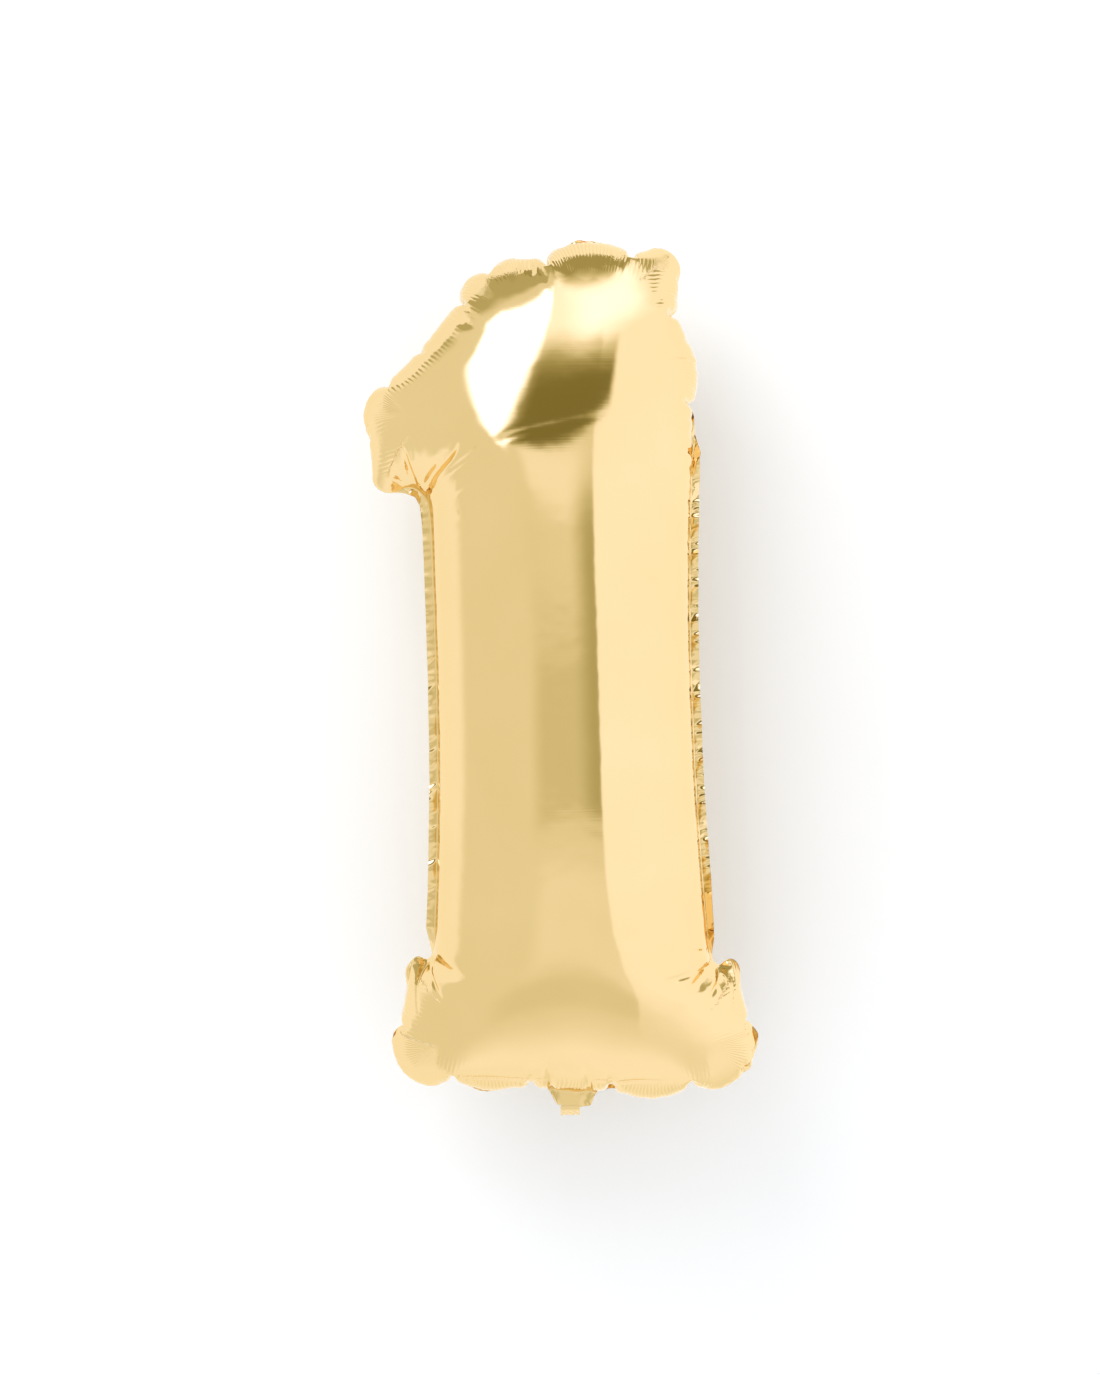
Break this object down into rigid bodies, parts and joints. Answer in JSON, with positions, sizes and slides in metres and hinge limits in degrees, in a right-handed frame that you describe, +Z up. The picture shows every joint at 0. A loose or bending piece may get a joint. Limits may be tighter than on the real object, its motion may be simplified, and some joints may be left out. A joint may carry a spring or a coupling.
{
  "type": "foil number balloon",
  "caption": "Inflated foil balloon shaped as the digit one, with a sealed edge, a neck and a folding tail that holds a flat self-sealing valve.",
  "frame": {"origin": "end of the neck, where the tail folds and a ribbon is tied", "axes": "+Z up the digit, -Y out of its front, +X to the digit's right as seen from the front"},
  "size_m": [0.3867, 0.25, 0.8716],
  "materials": {
    "mirror_foil": "metallised mirror film, pale gold",
    "valve_film": "clear glossy film"
  },
  "bodies": {
    "balloon": {"front_panel": "mirror_foil", "back_panel": "mirror_foil", "valve_film_front": "valve_film", "valve_film_back": "valve_film"},
    "tail": {"tail_front": "mirror_foil", "tail_back": "mirror_foil", "valve_mouth_front": "valve_film", "valve_mouth_back": "valve_film"}
  },
  "joints": [
    {"name": "tail_fold", "type": "hinge", "parent": "balloon", "child": "tail", "pos_m": [0, 0, 0], "axis": [1, 0, 0], "range_deg": [-180, 30]}
  ]
}
